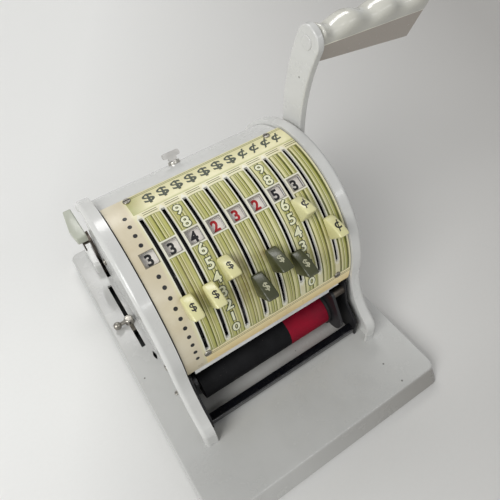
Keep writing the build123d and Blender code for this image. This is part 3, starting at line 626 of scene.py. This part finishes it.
def tidy_mesh(piece):
    """Merge a piece's doubled corners and turn all its faces outwards."""
    begin_edit(piece)
    bpy.ops.mesh.select_all(action="SELECT")
    bpy.ops.mesh.remove_doubles(threshold=1e-6)
    bpy.ops.mesh.normals_make_consistent(inside=False)
    end_edit()


def block(name, size, middle):
    """Plain block, by its size and middle in millimetres, to be shaped further."""
    clear_selection()
    bpy.ops.mesh.primitive_cube_add(size=1.0, location=Vector(middle) * MM)
    piece = bpy.context.object
    piece.name = name
    piece.scale = Vector(size) * MM
    return settle(piece)


def cut_away(piece, place, outward):
    """Cut off what lies beyond a plane, given in millimetres, and close the cut."""
    begin_edit(piece)
    bpy.ops.mesh.select_all(action="SELECT")
    bpy.ops.mesh.bisect(plane_co=Vector(place) * MM, plane_no=Vector(outward).normalized(),
                        use_fill=True, clear_outer=True)
    end_edit()


def rounded(piece, width, segments, angle=32.0):
    """Round a piece's sharp edges."""
    bevel = piece.modifiers.new("edges", "BEVEL")
    bevel.width = width * MM
    bevel.segments = segments
    bevel.limit_method = "ANGLE"
    bevel.angle_limit = math.radians(angle)
    take(piece)
    bpy.ops.object.modifier_apply(modifier="edges")


def copy_of(piece, name):
    """Copy a piece with its own mesh."""
    copied = piece.copy()
    copied.data = piece.data.copy()
    copied.name = name
    copied.data.name = name
    bpy.context.scene.collection.objects.link(copied)
    return copied


def finish_piece(piece, material, body, slot, *replaced):
    """Give a piece its finish and its body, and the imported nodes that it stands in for."""
    piece.data.materials.clear()
    piece.data.materials.append(material)
    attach(piece, body)
    if replaced:
        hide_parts(*replaced)
    return piece


def raised_mark(name, text, size, place, material, body, slot, heavy=0.0, depth=0.12, width=1.0):
    """A raised figure that stands on its place, reading with Y up and Z out."""
    clear_selection()
    bpy.ops.object.text_add()
    mark = bpy.context.object
    mark.name = name
    mark.data.body = text
    mark.data.size = size * MM
    mark.data.align_x = "CENTER"
    mark.data.align_y = "CENTER"
    mark.data.offset = heavy * MM
    mark.data.extrude = depth * MM
    mark.data.resolution_u = 4
    bpy.ops.object.convert(target="MESH")
    mark = bpy.context.object
    mark.name = name
    middle = sum((Vector(corner) for corner in mark.bound_box), Vector()) / 8
    mark.data.transform(Matrix.Diagonal((width, 1.0, 1.0, 1.0)) @ Matrix.Translation(-middle))
    tidy_mesh(mark)
    settle(mark, place, 30.0)
    return finish_piece(mark, material, body, slot)


def joined(pieces, name):
    """Join finished pieces of the same finish and body into one."""
    clear_selection()
    for piece in pieces:
        piece.select_set(True)
    bpy.context.view_layer.objects.active = pieces[0]
    bpy.ops.object.join()
    pieces[0].name = name
    return pieces[0]


# ---- settings -----------------------------------------------------------------------


def colour_setting(name, description, *levels):
    """Colour that a user can change, by display values of 0 to 255."""
    return bpy.props.FloatVectorProperty(
        name=name, description=description, default=rgb(*levels), subtype="COLOR", size=4, min=0.0, max=1.0)


def length_setting(name, description, default):
    """Length that a user can change, in millimetres."""
    return bpy.props.FloatProperty(
        name=name, description=description, default=default * MM, subtype="DISTANCE", unit="LENGTH", min=0.0)


class CheckWriterColours(bpy.types.PropertyGroup):
    """Main colours of the finishes and of the floor"""
    enamel: colour_setting("Enamel", "Sprayed enamel of the base, panels and cover", 213, 213, 210)
    enamel_worn: colour_setting("Worn enamel", "Enamel where it is dusty or worn", 202, 202, 199)
    key_cream: colour_setting("Cream keys", "Lever keys for the outer figures", 220, 216, 166)
    key_olive: colour_setting("Olive keys", "Lever keys for the middle figures", 62, 64, 38)
    grip: colour_setting("Grip", "Plastic of the handle's grip", 206, 205, 196)
    roller_red: colour_setting("Red felt", "Red end of the ink roller", 142, 10, 38)
    floor: colour_setting("Floor", "Paper under the machine, at the left", 233, 233, 231)
    # Painted shade: the floor's colour at the right, darkened to stand for less light there.
    floor_far: colour_setting("Floor, far side", "Paper at the right, where less light falls", 180, 178, 175)


class CheckWriterSizes(bpy.types.PropertyGroup):
    """Sizes of the keys and of the figures"""
    small_key_height: length_setting("Small key height", "Rise of a cream key over the dial", 19.5)
    large_key_height: length_setting("Large key height", "Rise of an olive key over the dial", 22.5)
    small_key_width: length_setting("Small key width", "Width of a cream key", 9.0)
    large_key_width: length_setting("Large key width", "Width of an olive key", 10.0)
    window_figure: length_setting("Window figure", "Height of a figure on a lever's band", 11.5)
    scale_figure: length_setting("Scale figure", "Height of a figure printed on the dial", 11.5)
    banner_mark: length_setting("Banner mark", "Height of a mark in the banner", 13.0)


# ---- operators ----------------------------------------------------------------------

FINISHES = {}


class CHECKWRITER_OT_finishes(bpy.types.Operator):
    """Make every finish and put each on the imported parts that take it"""
    bl_idname = "checkwriter.finishes"
    bl_label = "Finishes"

    def execute(self, context):
        tones = context.scene.check_writer_colours
        FINISHES.update({
            "grey_paint": enamel("grey_enamel", tones.enamel, tones.enamel_worn),
            "black_steel": black_coat("black_steel", rgb(26, 26, 28), 0.4),
            "rubber": black_coat("foot_rubber", rgb(34, 33, 32), 0.7),
            "nickel": metal("nickel_plate", rgb(186, 183, 176), rgb(142, 137, 128), 0.22),
            "printed_plate": printed_plate("printed_dial"),
            "lip_metal": enamel("bright_lip", rgb(236, 236, 234), rgb(204, 203, 200)),
            "black_bar": black_coat("gloss_black_bar", rgb(10, 11, 16), 0.14, 0.15, 0.6),
            "table_steel": enamel("table_enamel", rgb(184, 183, 180), rgb(160, 159, 155)),
            "bright_steel": metal("bright_steel", rgb(188, 186, 182), rgb(152, 149, 144), 0.3,
                                  grain=(1.0, 0.2, 1.0)),
            "spring_steel": metal("spring_steel", rgb(150, 148, 144), rgb(112, 110, 106), 0.3),
            "black_plastic": black_coat("black_plastic", rgb(30, 30, 30), 0.45),
            "black_felt": inked_felt("black_ink_felt", rgb(5, 5, 7), rgb(12, 12, 15)),
            "red_felt": inked_felt("red_ink_felt", tones.roller_red, rgb(118, 8, 34)),
            "grip_plastic": moulded("grip_plastic", tones.grip, rgb(196, 194, 184), 0.14, 0.12, 0.5,
                                    flat=browned_flat),
            "dark_steel": metal("dark_steel", rgb(112, 104, 96), rgb(70, 64, 58), 0.38,
                                grain=(1.0, 1.0, 0.2), spots=0.1),
            "key_plastic_grey": moulded("grey_green_plastic", rgb(190, 193, 179), rgb(174, 177, 163),
                                        0.3, 0.2),
            "segment_metal": digit_band("digit_band"),
            "key_cream": moulded("cream_plastic", tones.key_cream, rgb(210, 205, 150), 0.26, 0.2),
            "key_olive": moulded("olive_plastic", tones.key_olive, rgb(52, 54, 32), 0.3, 0.12, 0.1),
            "ink_black": ink("black_figures", rgb(22, 22, 24), rgb(80, 78, 74)),
            "ink_red": ink("red_figures", rgb(178, 30, 36), rgb(190, 96, 90)),
            "ink_olive": ink("olive_print", rgb(44, 54, 34), rgb(88, 94, 54)),
            "ink_white": ink("white_print", rgb(230, 230, 200), rgb(206, 204, 150)),
            "ink_pale": ink("worn_pale_fill", rgb(176, 174, 148), rgb(68, 69, 48), 0.9),
        })
        for part in frame["record"]["subparts"]:
            slot = part["material_slot"]
            if slot not in FINISHES:
                raise RuntimeError(f"no finish for {slot}")
            node = frame["nodes"][part["node"]]
            node.data.materials.clear()
            node.data.materials.append(FINISHES[slot])
        return {"FINISHED"}


def finger_facets(tail, crest, count=6, bulge=1.9):
    """Short runs of the finger face's side view, which bulges between its ends."""
    chord = crest - tail
    outward = Vector((0.0, chord.z, -chord.y)).normalized()
    points = []
    for step in range(count + 1):
        share = step / count
        points.append(tail + chord * share + outward * bulge * 4 * share * (1 - share))
    return list(zip(points, points[1:]))


def key_blank(name, width, height):
    """Wedge key for the top of the dial, with the two ends of its finger face."""
    sole_r = PLATE_R + 1.6
    tail = on_dial(0.0, sole_r, -3.8)
    heel = on_dial(0.0, sole_r, 3.6)
    nose = on_dial(0.0, sole_r + 1.2, 8.0)
    crest = on_dial(0.0, PLATE_R + height, 4.6)
    tail_top = on_dial(0.0, PLATE_R + 3.6, -4.2)
    middle = (0.0, (tail_top.y + nose.y) / 2, (heel.z + crest.z) / 2)
    key = block(name, (width, tail_top.y - nose.y, crest.z - heel.z), middle)
    for start, end in [(tail, tail_top)] + finger_facets(tail_top, crest) + [(crest, nose), (nose, heel)]:
        along = end - start
        cut_away(key, start, (0.0, along.z, -along.y))
    tidy_mesh(key)
    begin_edit(key)
    bpy.ops.mesh.select_all(action="SELECT")
    bpy.ops.mesh.bevel(offset=KEY_ROUND * MM, segments=3, profile=0.5)
    end_edit()
    rounded(key, 0.5, 3)
    return key, tail_top, crest


def turn_about_shaft(angle, x):
    """Turn from the top of the dial to an angle on it, and shift along the shaft."""
    centre = Matrix.Translation(Vector((0.0, DIAL_Y, DIAL_Z)) * MM)
    turned = centre @ Matrix.Rotation(math.radians(angle), 4, "X") @ centre.inverted()
    return Matrix.Translation((x * MM, 0.0, 0.0)) @ turned


def mark_place(tail, crest):
    """Where a key's mark stands: just over half-way up its finger face."""
    start, end = finger_facets(tail, crest)[3]
    up = (start - end).normalized()
    side = Vector((1.0, 0.0, 0.0))
    stand = Matrix((side, up, side.cross(up))).transposed().to_4x4()
    return Matrix.Translation(start.lerp(end, 0.3) * MM) @ stand


class CHECKWRITER_OT_keys(bpy.types.Operator):
    """Mould the eight lever keys and fill their marks"""
    bl_idname = "checkwriter.keys"
    bl_label = "Lever keys"

    def execute(self, context):
        sizes = context.scene.check_writer_sizes
        blanks = {
            "key_cream": key_blank("small_key", sizes.small_key_width / MM, sizes.small_key_height / MM),
            "key_olive": key_blank("large_key", sizes.large_key_width / MM, sizes.large_key_height / MM),
        }
        fillings = {"key_cream": FINISHES["ink_black"], "key_olive": FINISHES["ink_pale"]}
        for number in range(1, LEVERS + 1):
            slot = "key_cream" if number in SMALL_KEYS else "key_olive"
            blank, tail, crest = blanks[slot]
            place = turn_about_shaft(lever_angle(SHOWN_DIGITS[number - 1]), slot_x(number))
            key = settle(copy_of(blank, f"moulded_key_{number}"), place)
            finish_piece(key, FINISHES[slot], f"lever_{number}", slot, f"lever_key_{number}")
            text = "$" if number <= DOLLAR_LEVERS else "¢"
            raised_mark(f"key_mark_{number}", text, KEY_MARK_SIZES[text], place @ mark_place(tail, crest),
                        fillings[slot], f"lever_{number}", slot, heavy=0.12, depth=0.08)
        for blank, *_ in blanks.values():
            bpy.data.objects.remove(blank)
        return {"FINISHED"}


class CHECKWRITER_OT_clear_key(bpy.types.Operator):
    """Mould the tapered clearing key at the left side"""
    bl_idname = "checkwriter.clear_key"
    bl_label = "Clearing key"

    def execute(self, context):
        key = block("moulded_clear_key", CLEAR_KEY_BLOCK, CLEAR_KEY_MIDDLE)
        for place, outward in CLEAR_KEY_CUTS:
            cut_away(key, place, outward)
        rounded(key, 1.7, 4, 20.0)
        tidy_mesh(key)
        settle(key)
        finish_piece(key, FINISHES["key_plastic_grey"], "clear_slider", "key_plastic_grey", "clear_key")
        return {"FINISHED"}


class CHECKWRITER_OT_lock_key(bpy.types.Operator):
    """Shape the T key of the lock on the cover"""
    bl_idname = "checkwriter.lock_key"
    bl_label = "Lock key"

    def execute(self, context):
        key = block("lock_t_key", LOCK_BAR, (0.0, 0.0, LOCK_BAR_RISE))
        begin_edit(key)
        for side in (-LOCK_NECK / 2, LOCK_NECK / 2):
            bpy.ops.mesh.select_all(action="SELECT")
            bpy.ops.mesh.bisect(plane_co=(side * MM, 0.0, 0.0), plane_no=(1.0, 0.0, 0.0))
        pick_faces(key, lambda at, normal: normal.z < -0.9 and abs(at.x) < LOCK_NECK / 2 * MM)
        extrude(0.0, 0.0, -LOCK_NECK_DEPTH * MM)
        extrude(0.0, 0.0, -LOCK_STEP_DEPTH * MM)
        bpy.ops.transform.resize(value=(LOCK_STEM_SHARE, 1.0, 1.0))
        extrude(0.0, 0.0, -LOCK_STEM_DEPTH * MM)
        begin_edit(key, "EDGE")
        pick_edges(key, lambda at, along: abs(along.y) > 0.9 and abs(at.x) > (LOCK_BAR[0] / 2 - 0.5) * MM)
        bpy.ops.mesh.bevel(offset=LOCK_END_ROUND * MM, segments=4, profile=0.5)
        end_edit()
        tidy_mesh(key)
        settle(key, dial_place(LOCK_X, COVER_R, LOCK_ANGLE))
        finish_piece(key, FINISHES["bright_steel"], "lock", "bright_steel", "lock_key")
        return {"FINISHED"}


class CHECKWRITER_OT_figures(bpy.types.Operator):
    """Print the figures on the levers' bands, seen through the windows"""
    bl_idname = "checkwriter.figures"
    bl_label = "Window figures"

    def execute(self, context):
        size = context.scene.check_writer_sizes.window_figure / MM
        for number in range(1, LEVERS + 1):
            rest = lever_angle(SHOWN_DIGITS[number - 1])
            tint = FINISHES["ink_red"] if number in RED_LEVERS else FINISHES["ink_black"]
            marks = []
            for digit in range(10):
                angle = WINDOW_ANGLE - lever_angle(digit) + rest
                place = dial_place(slot_x(number) + WINDOW_OFFSET, BAND_R - 0.05, angle)
                marks.append(raised_mark(f"figure_{number}_{digit}", str(digit), size, place, tint,
                                         f"lever_{number}", "segment_metal", heavy=0.42, width=0.95))
            joined(marks, f"band_figures_{number}")
        return {"FINISHED"}


def plate_mark(name, text, size, x, angle, ink_name, **shape):
    """A mark printed on the dial's plate."""
    return raised_mark(name, text, size, dial_place(x, PLATE_R + MARK_LIFT, angle), FINISHES[ink_name],
                       "casing", "printed_plate", **shape)


class CHECKWRITER_OT_plate_marks(bpy.types.Operator):
    """Print the dial's scale figures, banner marks and side marks"""
    bl_idname = "checkwriter.plate_marks"
    bl_label = "Dial marks"

    def execute(self, context):
        sizes = context.scene.check_writer_sizes
        figure = sizes.scale_figure / MM
        outlines = []
        fills = []
        for number in SCALE_COLUMNS:
            x = slot_x(number) + PITCH / 2
            for digit in range(10):
                if digit == HIDDEN_DIGIT:
                    continue
                angle = lever_angle(digit) + SCALE_LEAD
                outlines.append(plate_mark(f"outline_{number}_{digit}", str(digit), figure, x, angle,
                                           "ink_olive", heavy=0.8, depth=0.07, width=1.1))
                fills.append(plate_mark(f"fill_{number}_{digit}", str(digit), figure, x, angle,
                                        "ink_white", heavy=0.25, depth=0.14, width=1.1))
        joined(outlines, "scale_outlines")
        joined(fills, "scale_figures")
        height = sizes.banner_mark / MM
        banner = []
        for name, text, count, first_x, spacing in BANNER_ROWS:
            for index in range(count):
                x = first_x + spacing * index
                banner.append(plate_mark(f"{name}_{index}", text, height, x, BANNER_ANGLE,
                                         "ink_olive", heavy=0.22, depth=0.09, width=1.35))
        joined(banner, "banner_marks")
        side = []
        for index, angle in enumerate(DOT_ANGLES):
            if abs(angle - WINDOW_ANGLE) >= DOT_WINDOW_GAP:
                side.append(plate_mark(f"side_{index}", "•", DOT_SIZE, DOT_X, angle,
                                       "ink_black", depth=0.07))
        joined(side, "side_marks")
        return {"FINISHED"}


def lay_floor(tones):
    """Pale paper that sweeps up behind the object."""
    clear_selection()
    bpy.ops.mesh.primitive_plane_add(size=1.0)
    floor = bpy.context.object
    floor.name = "paper_floor"
    floor.scale = (FLOOR_SPAN, FLOOR_SPAN, 1.0)
    settle(floor)
    begin_edit(floor, "EDGE")
    pick_edges(floor, lambda at, along: at.y > FLOOR_SPAN / 2 - 0.1)
    for rise in SWEEP_RISES:
        extrude(*rise)
    end_edit()
    bend = floor.modifiers.new("sweep", "BEVEL")
    bend.width = 0.2
    bend.segments = 12
    bpy.ops.object.modifier_apply(modifier="sweep")
    settle(floor, None, 60.0)
    floor.data.materials.append(floor_paper("stage_paper", tones.floor, tones.floor_far))


def light_room(scene):
    """Even light from all round, which looks brighter than it shines."""
    world = bpy.data.worlds.new("studio")
    scene.world = world
    world.use_nodes = True
    nodes = world.node_tree.nodes
    links = world.node_tree.links

    def larger(first, second):
        """The larger of two numbers."""
        node = nodes.new("ShaderNodeMath")
        node.operation = "MAXIMUM"
        links.new(first, node.inputs[0])
        links.new(second, node.inputs[1])
        return node.outputs[0]

    background = nodes["Background"]
    background.inputs["Color"].default_value = rgb(*ROOM_TONE)
    path = nodes.new("ShaderNodeLightPath").outputs
    seen = larger(larger(path["Is Camera Ray"], path["Is Glossy Ray"]), path["Is Transmission Ray"])
    level = nodes.new("ShaderNodeMapRange")
    level.inputs[3].default_value = ROOM_LIGHT
    level.inputs[4].default_value = ROOM_SEEN
    links.new(seen, level.inputs[0])
    links.new(level.outputs[0], background.inputs["Strength"])


def hang_lamp(name, place, target, size, power, tone):
    """Soft rectangular lamp that faces its target."""
    clear_selection()
    bpy.ops.object.light_add(type="AREA", location=place)
    light = bpy.context.object
    light.name = name
    light.data.shape = "RECTANGLE"
    light.data.size, light.data.size_y = size
    light.data.energy = power
    light.data.color = tone
    aim = Vector(target) - Vector(place)
    light.rotation_mode = "QUATERNION"
    light.rotation_quaternion = aim.to_track_quat("-Z", "Y")


def set_camera(scene):
    """Camera over the machine's front left."""
    camera = bpy.data.objects.new("camera", bpy.data.cameras.new("camera"))
    scene.collection.objects.link(camera)
    camera.location = Vector(CAMERA_PLACE) * MM
    camera.rotation_euler = Euler([math.radians(turn) for turn in CAMERA_TURN])
    camera.data.lens = CAMERA_LENS
    camera.data.sensor_width = CAMERA_SENSOR
    camera.data.clip_start = 0.01
    scene.camera = camera


class CHECKWRITER_OT_stage(bpy.types.Operator):
    """Lay the pale paper, hang the soft lights and set the camera"""
    bl_idname = "checkwriter.stage"
    bl_label = "Stage"

    def execute(self, context):
        scene = context.scene
        lay_floor(scene.check_writer_colours)
        light_room(scene)
        for lamp in LAMPS:
            hang_lamp(*lamp)
        set_camera(scene)
        scene.view_settings.view_transform = "Standard"
        return {"FINISHED"}


class CHECKWRITER_PT_panel(bpy.types.Panel):
    """Sizes, colours and building steps of the check writer"""
    bl_idname = "CHECKWRITER_PT_panel"
    bl_label = "Check Writer"
    bl_space_type = "VIEW_3D"
    bl_region_type = "UI"
    bl_category = "Check Writer"

    def draw(self, context):
        layout = self.layout
        for step in STEPS:
            layout.operator(step.bl_idname)
        for group in (context.scene.check_writer_colours, context.scene.check_writer_sizes):
            box = layout.box()
            for name in type(group).__annotations__:
                box.prop(group, name)


STEPS = (
    CHECKWRITER_OT_stage,
    CHECKWRITER_OT_finishes,
    CHECKWRITER_OT_keys,
    CHECKWRITER_OT_clear_key,
    CHECKWRITER_OT_lock_key,
    CHECKWRITER_OT_figures,
    CHECKWRITER_OT_plate_marks,
)
CLASSES = (CheckWriterColours, CheckWriterSizes, *STEPS, CHECKWRITER_PT_panel)


def register():
    for item in CLASSES:
        bpy.utils.register_class(item)
    bpy.types.Scene.check_writer_colours = bpy.props.PointerProperty(type=CheckWriterColours)
    bpy.types.Scene.check_writer_sizes = bpy.props.PointerProperty(type=CheckWriterSizes)


def unregister():
    del bpy.types.Scene.check_writer_sizes
    del bpy.types.Scene.check_writer_colours
    for item in reversed(CLASSES):
        bpy.utils.unregister_class(item)


def main():
    register()
    for step in STEPS:
        group, name = step.bl_idname.split(".")
        getattr(getattr(bpy.ops, group), name)()


if __name__ == "__main__":
    main()
